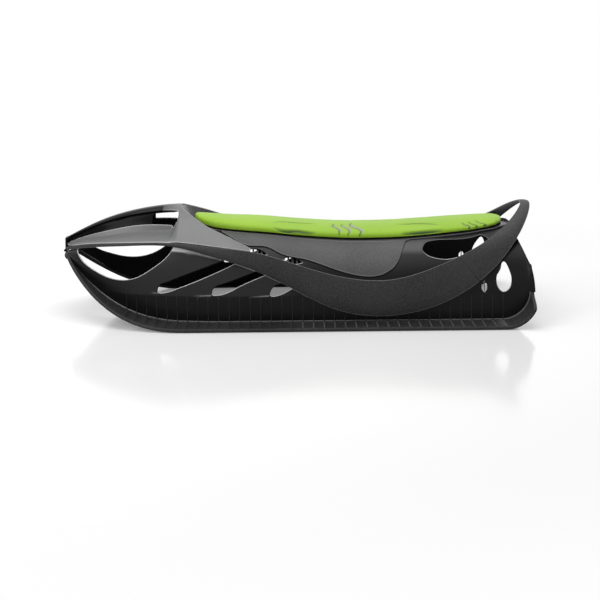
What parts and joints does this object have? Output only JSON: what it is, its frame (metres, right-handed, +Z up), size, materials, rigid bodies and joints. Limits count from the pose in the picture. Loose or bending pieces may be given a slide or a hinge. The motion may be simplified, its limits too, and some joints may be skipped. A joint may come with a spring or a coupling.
{
  "type": "steering sled",
  "caption": "Plastic snow sled with an arched hull on two wide skis, a hood with hand slots, swept side bands, a rear loop and a padded seat.",
  "frame": {"origin": "on the floor under the middle of the sled", "axes": "+X from the nose to the rear loop, +Y to the rider's right, +Z up"},
  "size_m": [1.2, 0.572, 0.2713],
  "materials": {
    "black_plastic": "semi-gloss black",
    "grained_plastic": "fine leather grain",
    "hood_plastic": "satin dark grey",
    "glide_plastic": "smooth",
    "seat_foam": "moulded closed-cell foam skin, lime green",
    "zinc_steel": "zinc plated"
  },
  "bodies": {
    "root": {"hull_bow_left": "black_plastic", "hull_middle_left": "black_plastic", "hull_tail_left": "black_plastic", "ski_left": "black_plastic", "glide_strip_left": "glide_plastic", "side_band_left": "grained_plastic", "loop_plate_left": "black_plastic", "hand_recess_left": "black_plastic", "side_skirt_left": "grained_plastic", "grille_front_left": "black_plastic", "grille_rear_left": "black_plastic", "band_spacer_left_1": "black_plastic", "band_spacer_left_2": "black_plastic", "band_spacer_left_3": "black_plastic", "boss_rail_left": "black_plastic", "ski_screw_left_1": "zinc_steel", "tray_screw_left_1": "zinc_steel", "ski_screw_left_2": "zinc_steel", "tray_screw_left_2": "zinc_steel", "ski_screw_left_3": "zinc_steel", "tray_screw_left_3": "zinc_steel", "ski_screw_left_4": "zinc_steel", "tray_screw_left_4": "zinc_steel", "hull_bow_right": "black_plastic", "hull_middle_right": "black_plastic", "hull_tail_right": "black_plastic", "ski_right": "black_plastic", "glide_strip_right": "glide_plastic", "side_band_right": "grained_plastic", "loop_plate_right": "black_plastic", "hand_recess_right": "black_plastic", "side_skirt_right": "grained_plastic", "grille_front_right": "black_plastic", "grille_rear_right": "black_plastic", "band_spacer_right_1": "black_plastic", "band_spacer_right_2": "black_plastic", "band_spacer_right_3": "black_plastic", "boss_rail_right": "black_plastic", "ski_screw_right_1": "zinc_steel", "tray_screw_right_1": "zinc_steel", "ski_screw_right_2": "zinc_steel", "tray_screw_right_2": "zinc_steel", "ski_screw_right_3": "zinc_steel", "tray_screw_right_3": "zinc_steel", "ski_screw_right_4": "zinc_steel", "tray_screw_right_4": "zinc_steel", "rear_loop": "grained_plastic", "hood_cover": "hood_plastic", "dash_panel": "black_plastic", "seat_tray": "black_plastic", "seat_pad": "seat_foam", "cross_rib_1": "black_plastic", "cross_rib_2": "black_plastic", "cross_rib_3": "black_plastic", "pad_stud_1": "black_plastic", "pad_stud_2": "black_plastic", "pad_stud_3": "black_plastic", "pad_stud_4": "black_plastic", "nose_bumper": "black_plastic", "tow_eye": "zinc_steel"}
  },
  "joints": []
}
